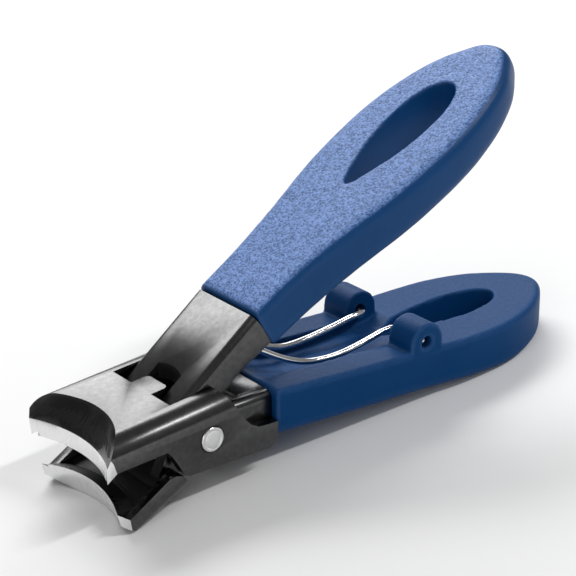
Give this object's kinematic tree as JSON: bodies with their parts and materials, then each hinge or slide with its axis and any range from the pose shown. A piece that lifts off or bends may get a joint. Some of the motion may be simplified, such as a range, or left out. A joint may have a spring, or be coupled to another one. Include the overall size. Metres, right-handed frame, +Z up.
{
  "type": "pliers nail clipper",
  "caption": "Pliers-type nail clipper with concave steel jaws, teardrop-holed blue plastic grips and a wire return spring, at rest sprung open.",
  "frame": {"origin": "centre of the bounding box's base, on the surface the clipper rests on", "axes": "+X from the jaws towards the handles, +Y across the jaws to the far side, +Z up"},
  "size_m": [0.0828, 0.0208, 0.0446],
  "materials": {
    "dark_steel": "black nickel plate, satin, with bright ground cutting bevels",
    "bright_steel": "bright turned steel",
    "spring_steel": "polished nickel plate",
    "blue_plastic": "moulded blue plastic, fine spark-eroded grain on the upper grip's back"
  },
  "bodies": {
    "frame": {"upper_jaw": "dark_steel", "lower_tang": "dark_steel", "pivot_rivet": "bright_steel", "lower_grip": "blue_plastic", "spring_wire": "spring_steel"},
    "lever": {"lower_jaw_lever": "dark_steel", "upper_grip": "blue_plastic"}
  },
  "joints": [
    {"name": "lever_pivot", "type": "hinge", "parent": "frame", "child": "lever", "pos_m": [-0.02531, 0, 0.00851], "axis": [0, 1, 0], "range_deg": [0, 17.5], "stiffness_Nm_per_rad": 0.39, "springref_deg": -11.75, "deforming": ["spring_wire"]}
  ]
}
